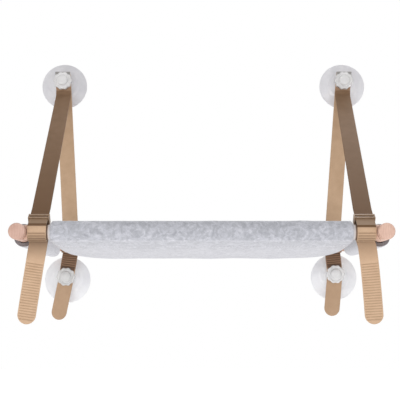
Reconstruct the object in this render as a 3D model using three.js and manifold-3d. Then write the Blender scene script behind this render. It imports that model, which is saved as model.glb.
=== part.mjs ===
// A window bed for a cat: a felt hammock on a wooden frame of two side rails and two cross rods.
// Two moulded straps carry the frame from four suction cups that stick to the glass.
// Millimetres. X is to the right seen from the room, +Y points into the glass, +Z is up.
// The glass is the plane y = 0, and z = 0 is the level of the two cross rods.
import * as THREE from "three";
import * as BufferGeometryUtils from "three/addons/utils/BufferGeometryUtils.js";
import Module from "manifold-3d";

const wasm = await Module();
wasm.setup();

// Gaps between pieces that touch, and how far a cutting shape runs past what it cuts
const touchGap = 0.3;
const overrun = 2;

// Wooden frame
const railDiameter = 22;
const railChamfer = 1.5;
const frontOverhang = 22;
const rearOverhang = 20;
const rodSpacing = 300;
const rodDiameter = 20;
const glassToRearRod = 32;

// Bolts that pull each cross rod against its side rail
const boltDiameter = 6;
const boltLength = 34;
const boltHeadDiameter = 10;
const boltHeadHeight = 5;
const boltSocketWidth = 5;
const boltSocketDepth = 2.5;
const headRecessDepth = 6.2;
const insertDiameter = 9;
const insertLength = 13;
const insertInset = 1.5;
const insertHoleSpare = 4;

// Felt hammock, sewn round the cross rods, and the felt sleeves on the side rails
const feltThickness = 3;
const hammockWidth = 398;
const seamInset = 20;
const tunnelPointDepth = 6;
const tunnelPointRise = 0.75;
const sagAtMiddle = 14;
const sagAtSides = 4;
const railSleeveThickness = 2.5;
const railSleeveDroop = 4;
const railSleeveFrontGap = 33;
const railSleeveRearGap = 14;

// Straps
const strapWidth = 25;
const strapThickness = 2;
const feltToFrontStrap = 5;
const feltToRearStrap = 1.4;
const strapToRail = 1;
const topBendRadius = 12;
const strapPastKnob = 1;
const foldPastKnob = 1;
const barDiameter = 3.6;
const barAlongStrap = 21;
const barBelowStrap = 6.8;
const loopAboveRod = 33;
const tailTopGap = 0.45;
const frontTailEnd = -121;
const frontTailLeans = { left: 17.5, right: 12.9 };
const frontTailLeanPowers = { left: 0.93, right: 0.5 };
const tailLeansBelow = -3;
const rearTailEnd = { left: -120.5, right: -114.3 };
const rearTailLeans = { left: -13, right: -7.2 };
const rearTailForward = 3;

// Buckles that lock the strap round each cross rod
const buckleWall = 1.2;
const buckleLength = 10.3;
const buckleBelowBar = 7.3;
const buckleBandLength = 3;
const buckleBandThickness = 1.5;
const buckleSideDepth = 13.3;
const buckleCorner = 1;
const buckleBandCorner = 0.4;
const buckleSlotSpare = 0.3;

// Suction cups, their studs and the knobs that clamp the straps
const cupDiameter = 75;
const cupLipWidth = 4.5;
const cupLipThickness = 1.2;
const cupHollowDepth = 2.4;
const cupSkirtThickness = 2.2;
const cupShoulderDiameter = 34;
const cupShoulderHeight = 9;
const cupBossDiameter = 22;
const cupHeight = 16;
const upperCupPastStrap = { left: 14, right: 19.1 };
const lowerCupPastStrap = { left: 8.1, right: 4.6 };
const cupMouthDrop = 4.5;
const upperCupLevel = 273;
const lowerCupLevels = { left: -51, right: -47 };
const studDiameter = 6;
const studHeadDiameter = 12;
const studHeadHeight = 2.7;
const studHeadDepth = 4.3;
const studReachIntoKnob = 9;
const knobDiameter = 30;
const knobFluteDepth = 1.3;
const knobSkirtHeight = 9;
const knobBevel = 1.2;
const knobBossDiameter = 17;
const knobHeight = 14;
const knobDomeRise = 1.6;

// How finely curves are cut into flats
const knobFlutes = 10;
const pointsPerFlute = 4;
const roundSides = 32;
const smallRoundSides = 16;
const domeSteps = 4;
const arcStepDegrees = 15;
const sheetSteps = 12;
const tailSteps = 8;
const ringSteps = 15;
const hexSides = 6;
const cornerSteps = 3;
const endRoundSteps = 7;
const stationShares = [0, 0.4, 0.65, 0.8, 0.9, 0.97, 1];
const sagFlatness = 5;

// Sizes that follow from the ones above
const foldTop = upperCupLevel + knobDiameter / 2 + foldPastKnob;
const legTop = upperCupLevel - knobDiameter / 2 - strapPastKnob;
const railRadius = railDiameter / 2;
const rodRadius = rodDiameter / 2;
const frontStrapX = hammockWidth / 2 + feltToFrontStrap + strapWidth / 2;
const rearStrapX = hammockWidth / 2 + feltToRearStrap + strapWidth / 2;
const upperCupX = (name) => frontStrapX + upperCupPastStrap[name];
const lowerCupX = (name) => rearStrapX + lowerCupPastStrap[name];
const railX = frontStrapX + strapWidth / 2 + strapToRail + railRadius;
const rearRodY = -glassToRearRod;
const frontRodY = rearRodY - rodSpacing;
const railFrontY = frontRodY - frontOverhang;
const railRearY = rearRodY + rearOverhang;
const strapHalf = strapThickness / 2;
const layerStep = strapThickness + touchGap;
const rearLayerY = -(cupHeight + touchGap + strapHalf);
const frontLayerY = rearLayerY - layerStep;
const loopRadius = rodRadius + touchGap + strapHalf;
const barWrapRadius = barDiameter / 2 + touchGap + strapHalf;

const paint = {
  wood: { color: 0xd9b49f, roughness: 0.55, metalness: 0 },
  felt: { color: 0xbfc0c7, roughness: 0.95, metalness: 0 },
  strap: { color: 0xb98f68, roughness: 0.6, metalness: 0 },
  buckle: { color: 0x8d6b4c, roughness: 0.5, metalness: 0 },
  clear: { color: 0xdcdbe0, roughness: 0.25, metalness: 0 },
  steel: { color: 0xb8b8bc, roughness: 0.35, metalness: 1 },
  brass: { color: 0xc2a35c, roughness: 0.4, metalness: 1 },
};

const bed = new THREE.Group();
const sides = { left: -1, right: 1 };

function addPiece(name, geometry, finish) {
  const mesh = new THREE.Mesh(geometry, new THREE.MeshStandardMaterial(paint[finish]));
  mesh.name = name;
  bed.add(mesh);
  return mesh;
}

// A closed geometry as a solid that can be joined and cut, and back again
function toSolid(geometry) {
  const bare = geometry.index ? geometry.toNonIndexed() : geometry.clone();
  bare.deleteAttribute("normal");
  bare.deleteAttribute("uv");
  const merged = BufferGeometryUtils.mergeVertices(bare);
  return new wasm.Manifold(
    new wasm.Mesh({
      numProp: 3,
      vertProperties: merged.attributes.position.array,
      triVerts: new Uint32Array(merged.index.array),
    }),
  );
}

function toGeometry(solid) {
  const mesh = solid.getMesh();
  const geometry = new THREE.BufferGeometry();
  geometry.setAttribute("position", new THREE.BufferAttribute(mesh.vertProperties, 3));
  geometry.setIndex(new THREE.BufferAttribute(mesh.triVerts, 1));
  geometry.computeVertexNormals();
  return geometry;
}

// A closed skin over rings of points that run anticlockwise seen from the far end
function loft(rings) {
  const count = rings[0].length;
  const points = rings.flat();
  const faces = [];
  for (let ring = 0; ring + 1 < rings.length; ring++) {
    for (let side = 0; side < count; side++) {
      const next = (side + 1) % count;
      const near = ring * count;
      const far = near + count;
      faces.push(near + side, near + next, far + next);
      faces.push(near + side, far + next, far + side);
    }
  }
  const lastRing = (rings.length - 1) * count;
  const outline = rings[0].map((point) => new THREE.Vector2(point.y, point.z));
  const cap = count === 4 ? [[0, 1, 2], [0, 2, 3]] : THREE.ShapeUtils.triangulateShape(outline, []);
  for (const [a, b, c] of cap) {
    faces.push(a, c, b);
    faces.push(lastRing + a, lastRing + b, lastRing + c);
  }
  const geometry = new THREE.BufferGeometry().setFromPoints(points);
  geometry.setIndex(faces);
  geometry.computeVertexNormals();
  return geometry;
}

// Cylinder of a radius along x or y between two places
function roundBar(radius, from, to, axis, sides = roundSides) {
  const bar = new THREE.CylinderGeometry(radius, radius, Math.abs(to - from), sides);
  bar.translate(0, (from + to) / 2, 0);
  if (axis === "x") bar.rotateZ(-Math.PI / 2);
  return bar;
}

// The route of a strap in the plane of y and z, past circles that it bends round.
// A stop's turn is 1 where the strap goes round it anticlockwise seen from the right, and -1 the other way.
const atPoint = (y, z) => ({ y, z, radius: 0, turn: 0 });

function tangent(from, to) {
  const run = Math.hypot(to.y - from.y, to.z - from.z);
  const bearing = Math.atan2(to.z - from.z, to.y - from.y);
  const offset = to.turn * to.radius - from.turn * from.radius;
  const straight = Math.sqrt(Math.max(0, run * run - offset * offset));
  return bearing - Math.atan2(offset, straight);
}

function onStop(stop, heading) {
  const reach = stop.turn * stop.radius;
  const y = stop.y + reach * Math.sin(heading);
  const z = stop.z - reach * Math.cos(heading);
  return { y, z, heading };
}

function bendAt(stop, arriving, leaving) {
  const fullTurn = 2 * Math.PI;
  const bend = THREE.MathUtils.euclideanModulo(leaving - arriving, fullTurn);
  if (stop.turn > 0) return bend;
  if (stop.turn < 0) return bend - fullTurn;
  return bend > Math.PI ? bend - fullTurn : bend;
}

function strapRoute(stops) {
  const headings = stops.slice(1).map((stop, index) => tangent(stops[index], stop));
  const route = [onStop(stops[0], headings[0])];
  for (let index = 1; index + 1 < stops.length; index++) {
    const stop = stops[index];
    const arriving = headings[index - 1];
    const bend = bendAt(stop, arriving, headings[index]);
    if (stop.turn === 0) {
      route.push(onStop(stop, arriving + bend / 2));
      continue;
    }
    const steps = Math.max(1, Math.ceil(Math.abs(bend) / THREE.MathUtils.degToRad(arcStepDegrees)));
    for (let step = 0; step <= steps; step++) {
      route.push(onStop(stop, arriving + (bend * step) / steps));
    }
  }
  route.push(onStop(stops.at(-1), headings.at(-1)));
  return route;
}

// The last half width of a strap, drawn in to a round end
function roundedEnd(last) {
  const full = strapWidth / 2;
  const stations = [];
  for (let step = 0; step < endRoundSteps; step++) {
    const angle = (step / endRoundSteps) * (Math.PI / 2);
    const back = full * (1 - Math.sin(angle));
    stations.push({
      y: last.y - back * Math.cos(last.heading),
      z: last.z - back * Math.sin(last.heading),
      heading: last.heading,
      half: full * Math.cos(angle),
    });
  }
  stations.push({ ...last, half: stations.at(-1).half / 2 });
  return stations;
}

// Solid strap along a route, with its middle at sideAt(z)
function strapGeometry(route, sideAt, hasRoundEnd = false) {
  const full = route.map((place) => ({ ...place, half: strapWidth / 2 }));
  const stations = hasRoundEnd ? [...full.slice(0, -1), ...roundedEnd(full.at(-1))] : full;
  const corners = [[-1, -1], [-1, 1], [1, 1], [1, -1]];
  const ringAt = (station) =>
    corners.map(([side, face]) => {
      const x = sideAt(station.z) + side * station.half;
      const y = station.y - face * strapHalf * Math.sin(station.heading);
      const z = station.z + face * strapHalf * Math.cos(station.heading);
      return new THREE.Vector3(x, y, z);
    });
  return loft(stations.map(ringAt));
}

// Directions along and across a strap that comes down to a rod, with the place of the buckle's bar
function strapFrame(rodY, heading) {
  const up = { y: -Math.cos(heading), z: -Math.sin(heading) };
  const under = { y: -Math.sin(heading), z: Math.cos(heading) };
  const at = (along, below) => ({
    y: rodY + up.y * along + under.y * (below - loopRadius),
    z: up.z * along + under.z * (below - loopRadius),
  });
  return { at, tilt: Math.atan2(up.y, up.z), bar: at(barAlongStrap, barBelowStrap) };
}

const rodStop = (rodY) => ({ y: rodY, z: 0, radius: loopRadius, turn: 1 });
const barStop = (frame) => ({ ...frame.bar, radius: barWrapRadius, turn: -1 });

const topBend = { y: frontLayerY - topBendRadius, z: legTop, radius: topBendRadius, turn: -1 };
const rearLegTop = atPoint(rearLayerY, legTop);
const frontFrame = strapFrame(frontRodY, tangent(topBend, rodStop(frontRodY)));
const rearFrame = strapFrame(rearRodY, tangent(rearLegTop, rodStop(rearRodY)));
const frontHang = { y: frontFrame.bar.y + barWrapRadius, z: frontFrame.bar.z };

const between = (z, lowZ, highZ, lowX, highX) => THREE.MathUtils.mapLinear(z, lowZ, highZ, lowX, highX);
// The middle of a strap above its rod: straight up through the buckle, then out toward the upper cup
const upperSide = (name, atRod) => (z) =>
  sides[name] * Math.max(atRod, between(z, loopAboveRod, upperCupLevel, atRod, upperCupX(name)));

// Strap between the upper cup and the buckle on the front rod: it goes slack when the bed is folded up
function frontLeg(name) {
  const loopStart = frontFrame.at(loopAboveRod + touchGap, 0);
  const top = onStop(topBend, -Math.PI / 2);
  const route = strapRoute([atPoint(top.y, top.z + touchGap), topBend, atPoint(loopStart.y, loopStart.z)]);
  return strapGeometry(route, upperSide(name, frontStrapX));
}

// Strap through the buckle, down over the front of the rod, round under it and back up over the buckle's bar
function frontLoop(name) {
  const start = frontFrame.at(loopAboveRod, 0);
  const below = atPoint(frontHang.y, frontHang.z - overrun);
  const stops = [atPoint(start.y, start.z), rodStop(frontRodY), barStop(frontFrame), below];
  return strapGeometry(strapRoute(stops).slice(0, -1), upperSide(name, frontStrapX));
}

// Free end of the strap, which hangs behind the front rod
function frontTail(name) {
  const lean = frontTailLeans[name];
  const top = frontHang.z - tailTopGap;
  const roundFrom = frontTailEnd + strapWidth / 2;
  const places = [];
  for (let step = 0; step < tailSteps; step++) {
    places.push(THREE.MathUtils.lerp(top, roundFrom, step / tailSteps));
  }
  places.push(frontTailEnd);
  const route = places.map((z) => ({ y: frontHang.y, z, heading: -Math.PI / 2 }));
  const leanAt = (z) =>
    lean * Math.pow(Math.max(0, between(z, tailLeansBelow, frontTailEnd, 0, 1)), frontTailLeanPowers[name]);
  return strapGeometry(route, (z) => sides[name] * (frontStrapX + leanAt(z)), true);
}

// Rear half of the strap: folded over the upper stud, down round the rear rod and on past the lower stud
function rearStrap(name) {
  const side = sides[name];
  const tailEnd = rearTailEnd[name];
  const lowerLevel = lowerCupLevels[name];
  const lowerX = lowerCupX(name);
  const endX = lowerX + side * rearTailLeans[name];
  const foldRadius = layerStep / 2;
  const clampHalf = knobDiameter / 2;
  const buckleTop = rearFrame.at(loopAboveRod, 0);
  const route = strapRoute([
    atPoint(frontLayerY, legTop + 2 * touchGap),
    { y: rearLayerY - foldRadius, z: foldTop - foldRadius, radius: foldRadius, turn: -1 },
    rearLegTop,
    atPoint(buckleTop.y, buckleTop.z),
    rodStop(rearRodY),
    barStop(rearFrame),
    { y: rearRodY, z: 0, radius: loopRadius + layerStep, turn: -1 },
    atPoint(rearLayerY, lowerLevel + clampHalf),
    atPoint(rearLayerY, lowerLevel - clampHalf),
    atPoint(rearLayerY - rearTailForward, tailEnd),
  ]);
  const sideAt = (z) => {
    if (z > 0) return upperSide(name, rearStrapX)(z);
    if (z > lowerLevel) return side * between(z, lowerLevel, 0, lowerX, rearStrapX);
    return side * between(z, tailEnd, lowerLevel, endX, lowerX);
  };
  const strap = toSolid(strapGeometry(route, sideAt, true));
  const upperHole = studHole(side * upperCupX(name), upperCupLevel);
  const lowerHole = studHole(side * lowerX, lowerLevel);
  return toGeometry(strap.subtract(upperHole).subtract(lowerHole));
}

function studHole(x, z) {
  const radius = studDiameter / 2 + touchGap;
  const hole = roundBar(radius, frontLayerY - overrun, rearLayerY + overrun, "y", smallRoundSides);
  return toSolid(hole.translate(x, 0, z));
}

// Frame of a buckle round the strap: two side plates, two bands over the strap and a round bar under it
function buckle(strapX, frame) {
  const slotHalf = strapWidth / 2 + buckleSlotSpare;
  const plateX = slotHalf + buckleWall / 2;
  const bandOver = strapHalf + buckleSlotSpare;
  const lowEnd = barAlongStrap - buckleBelowBar;
  const highEnd = lowEnd + buckleLength;
  const joinOverlap = buckleWall / 2;
  const plate = new THREE.Shape();
  const top = bandOver + buckleBandThickness;
  roundedBox(plate, lowEnd, top - buckleSideDepth, highEnd, top, buckleCorner);
  const rightPlate = toSolid(acrossStrap(plate, buckleWall).translate(plateX, 0, 0));
  const leftPlate = toSolid(acrossStrap(plate, buckleWall).translate(-plateX, 0, 0));
  let frameSolid = rightPlate.add(leftPlate);
  for (const from of [lowEnd + buckleCorner / 2, highEnd - buckleCorner / 2 - buckleBandLength]) {
    const band = new THREE.Shape();
    roundedBox(band, from, bandOver, from + buckleBandLength, top - touchGap, buckleBandCorner);
    frameSolid = frameSolid.add(toSolid(acrossStrap(band, 2 * (slotHalf + joinOverlap))));
  }
  const bar = roundBar(barDiameter / 2, -slotHalf - joinOverlap, slotHalf + joinOverlap, "x", smallRoundSides);
  frameSolid = frameSolid.add(toSolid(bar.translate(0, barAlongStrap, -barBelowStrap)));
  const geometry = toGeometry(frameSolid);
  // The frame is drawn with the strap running up along +Y and its upper face toward +Z
  geometry.rotateX(Math.PI / 2 - frame.tilt);
  const origin = frame.at(0, 0);
  return geometry.translate(strapX, origin.y, origin.z);
}

// A rounded box outline, and an outline drawn along and above the strap, given a width across the strap
function roundedBox(shape, low, bottom, high, top, corner) {
  shape.moveTo(low + corner, bottom);
  shape.lineTo(high - corner, bottom);
  shape.quadraticCurveTo(high, bottom, high, bottom + corner);
  shape.lineTo(high, top - corner);
  shape.quadraticCurveTo(high, top, high - corner, top);
  shape.lineTo(low + corner, top);
  shape.quadraticCurveTo(low, top, low, top - corner);
  shape.lineTo(low, bottom + corner);
  shape.quadraticCurveTo(low, bottom, low + corner, bottom);
  return shape;
}

function acrossStrap(shape, width) {
  const block = new THREE.ExtrudeGeometry(shape, { depth: width, bevelEnabled: false, curveSegments: cornerSteps });
  block.translate(0, 0, -width / 2);
  return block.rotateX(Math.PI / 2).rotateZ(Math.PI / 2);
}

// Side rail of the frame, drilled for the bolts of the two cross rods
function sideRail(side) {
  const edge = railRadius - railChamfer;
  const profile = [
    [0, railFrontY],
    [edge, railFrontY],
    [railRadius, railFrontY + railChamfer],
    [railRadius, railRearY - railChamfer],
    [edge, railRearY],
    [0, railRearY],
  ].map(([radius, y]) => new THREE.Vector2(radius, y));
  let rail = toSolid(new THREE.LatheGeometry(profile, roundSides).translate(side * railX, 0, 0));
  const outside = side * (railX + railRadius + overrun);
  const recessFloor = side * (railX + railRadius - headRecessDepth);
  const inside = side * (railX - railRadius - overrun);
  for (const rodY of [frontRodY, rearRodY]) {
    const shankHole = roundBar(boltDiameter / 2 + touchGap, inside, outside, "x", smallRoundSides);
    const recess = roundBar(boltHeadDiameter / 2 + touchGap, recessFloor, outside, "x", smallRoundSides);
    rail = rail.subtract(toSolid(shankHole.translate(0, rodY, 0)));
    rail = rail.subtract(toSolid(recess.translate(0, rodY, 0)));
  }
  return toGeometry(rail);
}

// Cross rod, coped at both ends to sit against the side rails, with a hole for each threaded insert
function crossRod(rodY) {
  const seatRadius = railRadius + touchGap;
  const cornerX = railX - Math.sqrt(seatRadius * seatRadius - rodRadius * rodRadius);
  let rod = toSolid(roundBar(rodRadius, -cornerX - overrun, cornerX + overrun, "x"));
  for (const side of [-1, 1]) {
    const seat = roundBar(seatRadius, -rodDiameter, rodDiameter, "y").translate(side * railX, 0, 0);
    const holeEnd = railX - seatRadius - insertInset - insertLength - insertHoleSpare;
    const hole = roundBar(insertDiameter / 2 + touchGap, side * holeEnd, side * railX, "x", smallRoundSides);
    rod = rod.subtract(toSolid(seat)).subtract(toSolid(hole));
  }
  return toGeometry(rod).translate(0, rodY, 0);
}

// Bolt through the rail into the insert, and the threaded insert in the end of the cross rod
function railBolt(side, rodY) {
  const seat = railX + railRadius - headRecessDepth + touchGap;
  const headTop = seat + boltHeadHeight;
  const head = roundBar(boltHeadDiameter / 2, side * seat, side * headTop, "x", smallRoundSides);
  const shank = roundBar(boltDiameter / 2, side * (seat - boltLength), side * (seat + overrun), "x", smallRoundSides);
  const socketFloor = side * (headTop - boltSocketDepth);
  const socket = roundBar(boltSocketWidth / 2, socketFloor, side * (headTop + overrun), "x", hexSides);
  const bolt = toSolid(head).add(toSolid(shank)).subtract(toSolid(socket));
  return toGeometry(bolt).translate(0, rodY, 0);
}

function rodInsert(side, rodY) {
  const outerX = railX - railRadius - touchGap - insertInset;
  const innerX = outerX - insertLength;
  const body = roundBar(insertDiameter / 2, side * innerX, side * outerX, "x", smallRoundSides);
  const thread = roundBar(
    boltDiameter / 2 + touchGap, side * (innerX - overrun), side * (outerX + overrun), "x", smallRoundSides,
  );
  return toGeometry(toSolid(body).subtract(toSolid(thread))).translate(0, rodY, 0);
}

// Felt hammock: one sheet that sags between the cross rods, turned round each rod and sewn down as a sleeve
const feltInner = rodRadius + touchGap;
const feltOuter = feltInner + feltThickness;

function sheetOutline(sag) {
  const spanFrom = frontRodY;
  const spanTo = rearRodY;
  const bottomAt = (y) => {
    const fromMiddle = (2 * y - spanFrom - spanTo) / rodSpacing;
    return -feltOuter - sag * (1 - fromMiddle * fromMiddle);
  };
  const seamY = spanFrom + seamInset;
  const seamZ = bottomAt(seamY) + feltThickness;
  const seamAngle = Math.atan2(seamZ, seamInset);
  const topAngle = seamAngle + Math.acos(feltOuter / Math.hypot(seamZ, seamInset));
  const points = [];
  const ringPoint = (rodY, inward, angle) =>
    new THREE.Vector2(rodY + inward * feltOuter * Math.cos(angle), feltOuter * Math.sin(angle));
  const lowAngle = (3 * Math.PI) / 2;
  for (let step = 0; step <= ringSteps; step++) {
    points.push(ringPoint(spanFrom, 1, THREE.MathUtils.lerp(topAngle, lowAngle, step / ringSteps)));
  }
  for (let step = 1; step < sheetSteps; step++) {
    const y = THREE.MathUtils.lerp(spanFrom, spanTo, step / sheetSteps);
    points.push(new THREE.Vector2(y, bottomAt(y)));
  }
  for (let step = 0; step <= ringSteps; step++) {
    points.push(ringPoint(spanTo, -1, THREE.MathUtils.lerp(lowAngle, topAngle, step / ringSteps)));
  }
  for (let step = 0; step <= sheetSteps; step++) {
    const y = THREE.MathUtils.lerp(spanTo - seamInset, seamY, step / sheetSteps);
    points.push(new THREE.Vector2(y, bottomAt(y) + feltThickness));
  }
  return points;
}

// The hollow of a sleeve, round at the rod and drawn to a point at the seam
function sleeveTunnel(rodY, inward) {
  const pointY = seamInset - tunnelPointDepth;
  const pointZ = -feltInner + tunnelPointRise;
  const pointAngle = Math.atan2(pointZ, pointY);
  const opening = Math.acos(feltInner / Math.hypot(pointY, pointZ));
  const outline = new THREE.Shape();
  const from = pointAngle + opening;
  const to = pointAngle + 2 * Math.PI - opening;
  outline.absarc(0, 0, feltInner, from, to, false);
  outline.lineTo(pointY, pointZ);
  const length = hammockWidth + 2 * overrun;
  const options = { depth: length, bevelEnabled: false, curveSegments: smallRoundSides };
  const block = new THREE.ExtrudeGeometry(outline, options).translate(0, 0, -length / 2);
  block.rotateX(Math.PI / 2).rotateZ(Math.PI / 2);
  if (inward < 0) block.rotateZ(Math.PI);
  return toSolid(block.translate(0, rodY, 0));
}

function hammock() {
  const halfWidth = hammockWidth / 2;
  const shares = [...stationShares.slice(1).map((share) => -share).reverse(), ...stationShares];
  const rings = shares.map((share) => {
    const sag = sagAtSides + (sagAtMiddle - sagAtSides) * (1 - Math.pow(Math.abs(share), sagFlatness));
    return sheetOutline(sag).map((point) => new THREE.Vector3(share * halfWidth, point.x, point.y));
  });
  const sheet = toSolid(loft(rings));
  return toGeometry(sheet.subtract(sleeveTunnel(frontRodY, 1)).subtract(sleeveTunnel(rearRodY, -1)));
}

// Felt sleeve that hangs loosely on a side rail: it touches the top of the rail and droops below it
function railSleeve(side) {
  const inner = railRadius + touchGap;
  const from = frontRodY + railSleeveFrontGap;
  const to = rearRodY - railSleeveRearGap;
  const section = droopingRound(new THREE.Shape(), inner + railSleeveThickness);
  section.holes.push(droopingRound(new THREE.Path(), inner));
  const options = { depth: to - from, bevelEnabled: false, curveSegments: smallRoundSides };
  const sleeve = new THREE.ExtrudeGeometry(section, options);
  return sleeve.rotateX(Math.PI / 2).translate(side * railX, to, 0);
}

function droopingRound(outline, radius) {
  outline.absarc(0, 0, radius, 0, Math.PI);
  outline.absarc(0, -railSleeveDroop, radius, Math.PI, 2 * Math.PI);
  return outline.closePath();
}

// Soft suction cup with the head of its stud moulded into the boss. Turned about y, mouth against the glass,
// with the mouth's middle a little below the stud.
function suctionCup() {
  const rim = cupDiameter / 2;
  const lip = rim - cupLipWidth;
  const shoulder = cupShoulderDiameter / 2;
  const boss = cupBossDiameter / 2;
  const shankHole = studDiameter / 2 + touchGap;
  const headHole = studHeadDiameter / 2 + touchGap;
  const headBack = -studHeadDepth - cupHollowDepth + touchGap;
  const headFront = headBack - studHeadHeight - 2 * touchGap;
  const profile = [
    [0, headBack],
    [headHole, headBack],
    [headHole, headFront],
    [shankHole, headFront],
    [shankHole, -cupHeight],
    [boss - cupLipThickness, -cupHeight],
    [boss, -cupHeight + cupLipThickness],
    [boss, -cupShoulderHeight - cupSkirtThickness],
    [shoulder, -cupShoulderHeight + cupSkirtThickness],
    [lip, -cupLipThickness - cupSkirtThickness / 2],
    [rim, -cupLipThickness],
    [rim, 0],
    [lip, 0],
    [shoulder, -cupHollowDepth],
    [0, -cupHollowDepth],
  ];
  const cup = turned(profile, roundSides);
  const points = cup.attributes.position;
  for (let index = 0; index < points.count; index++) {
    const radius = Math.hypot(points.getX(index), points.getZ(index));
    const share = THREE.MathUtils.clamp((radius - shoulder) / (lip - shoulder), 0, 1);
    points.setZ(index, points.getZ(index) - cupMouthDrop * share);
  }
  cup.computeVertexNormals();
  return cup;
}

// Threaded stud whose head is held in the cup
function cupStud(knobBack) {
  const back = -studHeadDepth - cupHollowDepth;
  const head = studHeadDiameter / 2;
  const shank = studDiameter / 2;
  const tip = knobBack - studReachIntoKnob;
  const profile = [
    [0, tip],
    [shank, tip],
    [shank, back - studHeadHeight],
    [head, back - studHeadHeight],
    [head, back],
    [0, back],
  ];
  return turned(profile, smallRoundSides);
}

// A profile of radius and y turned round the y axis, listed so that the outside runs toward the glass
function turned(profile, sides) {
  return new THREE.LatheGeometry(profile.map(([radius, y]) => new THREE.Vector2(radius, y)), sides);
}

// Fluted knob that screws on to the stud, with a domed boss in front
function clampKnob(knobBack) {
  const outline = new THREE.Shape();
  const count = knobFlutes * pointsPerFlute;
  const points = [];
  for (let index = 0; index < count; index++) {
    const angle = (2 * Math.PI * index) / count;
    const dip = (knobFluteDepth * (1 - Math.cos(knobFlutes * angle))) / 2;
    const radius = knobDiameter / 2 - dip;
    points.push(new THREE.Vector2(radius * Math.cos(angle), radius * Math.sin(angle)));
  }
  outline.setFromPoints(points);
  const skirt = new THREE.ExtrudeGeometry(outline, {
    depth: knobSkirtHeight - 2 * knobBevel,
    bevelThickness: knobBevel,
    bevelSize: knobBevel,
    bevelOffset: -knobBevel,
    bevelSegments: 1,
  });
  skirt.rotateX(Math.PI / 2).translate(0, knobBack - knobBevel, 0);
  const front = knobBack - knobHeight;
  const bossRadius = knobBossDiameter / 2;
  const dome = [];
  for (let step = 0; step <= domeSteps; step++) {
    const angle = (step / domeSteps) * (Math.PI / 2);
    dome.push([bossRadius * Math.sin(angle), front + knobDomeRise * (1 - Math.cos(angle))]);
  }
  const boss = turned([...dome, [bossRadius, knobBack - knobBevel], [0, knobBack - knobBevel]], smallRoundSides);
  const boreEnd = knobBack - studReachIntoKnob - touchGap;
  const bore = roundBar(studDiameter / 2 + touchGap, boreEnd, knobBack + overrun, "y", smallRoundSides);
  return toGeometry(toSolid(skirt).add(toSolid(boss)).subtract(toSolid(bore)));
}

// A cup with its stud and the knob that clamps one or two layers of strap
function addCup(name, x, level, strapLayers) {
  const knobBack = -(cupHeight + touchGap + strapLayers * layerStep);
  addPiece(name + "_suction_cup", suctionCup(), "clear").position.set(x, 0, level);
  addPiece(name + "_stud", cupStud(knobBack), "steel").position.set(x, 0, level);
  addPiece(name + "_knob", clampKnob(knobBack), "clear").position.set(x, 0, level);
}

const rods = { front: frontRodY, rear: rearRodY };
addPiece("felt_hammock", hammock(), "felt");
for (const [place, rodY] of Object.entries(rods)) {
  addPiece(place + "_cross_rod", crossRod(rodY), "wood");
}

for (const [name, side] of Object.entries(sides)) {
  addCup("upper_" + name, side * upperCupX(name), upperCupLevel, 2);
  addCup("lower_" + name, side * lowerCupX(name), lowerCupLevels[name], 1);
  addPiece(name + "_side_rail", sideRail(side), "wood");
  addPiece(name + "_rail_felt_sleeve", railSleeve(side), "felt");
  addPiece(name + "_front_strap_leg", frontLeg(name), "strap");
  addPiece(name + "_front_strap_loop", frontLoop(name), "strap");
  addPiece(name + "_front_strap_tail", frontTail(name), "strap");
  addPiece(name + "_rear_strap", rearStrap(name), "strap");
  addPiece(name + "_front_buckle", buckle(side * frontStrapX, frontFrame), "buckle");
  addPiece(name + "_rear_buckle", buckle(side * rearStrapX, rearFrame), "buckle");
  for (const [place, rodY] of Object.entries(rods)) {
    addPiece(place + "_" + name + "_bolt", railBolt(side, rodY), "steel");
    addPiece(place + "_" + name + "_insert", rodInsert(side, rodY), "brass");
  }
}

export default bed;
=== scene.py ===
import math

import bmesh
import bpy
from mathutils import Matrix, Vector, noise


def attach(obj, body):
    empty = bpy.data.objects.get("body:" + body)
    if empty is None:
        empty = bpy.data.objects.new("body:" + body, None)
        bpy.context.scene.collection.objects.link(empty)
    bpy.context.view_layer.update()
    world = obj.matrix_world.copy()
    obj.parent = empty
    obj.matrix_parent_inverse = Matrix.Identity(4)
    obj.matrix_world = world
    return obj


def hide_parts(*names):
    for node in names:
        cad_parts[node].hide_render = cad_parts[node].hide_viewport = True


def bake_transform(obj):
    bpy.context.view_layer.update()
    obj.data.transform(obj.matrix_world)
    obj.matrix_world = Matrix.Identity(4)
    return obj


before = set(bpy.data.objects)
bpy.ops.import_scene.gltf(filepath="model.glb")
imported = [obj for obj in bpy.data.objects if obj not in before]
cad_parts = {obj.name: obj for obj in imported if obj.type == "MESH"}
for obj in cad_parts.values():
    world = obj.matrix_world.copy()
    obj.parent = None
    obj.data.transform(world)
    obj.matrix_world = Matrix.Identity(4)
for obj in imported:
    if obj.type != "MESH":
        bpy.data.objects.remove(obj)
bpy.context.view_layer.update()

# Camera: a long lens in front of the bed and a little below it, tilted up, as in the photograph.
camera = bpy.data.objects.new("camera", bpy.data.cameras.new("camera"))
bpy.context.collection.objects.link(camera)
camera.location = (0.0004, -1.6317, -0.0906)
tilt_up, turn_left = 0.1023, 0.002
camera.rotation_euler = (math.pi / 2 + tilt_up, 0, turn_left)
camera.data.sensor_width = 36
camera.data.lens = 88.73
bpy.context.scene.camera = camera
bpy.context.scene.view_settings.view_transform = "Standard"


# Studio: even white surroundings, a soft lamp from low in front, one from high behind, a weak one below.
# The pale floor lies far under the bed, as a room's floor does, and takes a faint shadow. All in metres.
def tone(red, green, blue):
    """A colour as it looks, 0 to 255, as the linear light that a shader takes."""

    def linear(level):
        """One channel as linear light."""
        share = level / 255
        return share / 12.92 if share <= 0.04045 else ((share + 0.055) / 1.055) ** 2.4

    return (linear(red), linear(green), linear(blue), 1)


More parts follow.
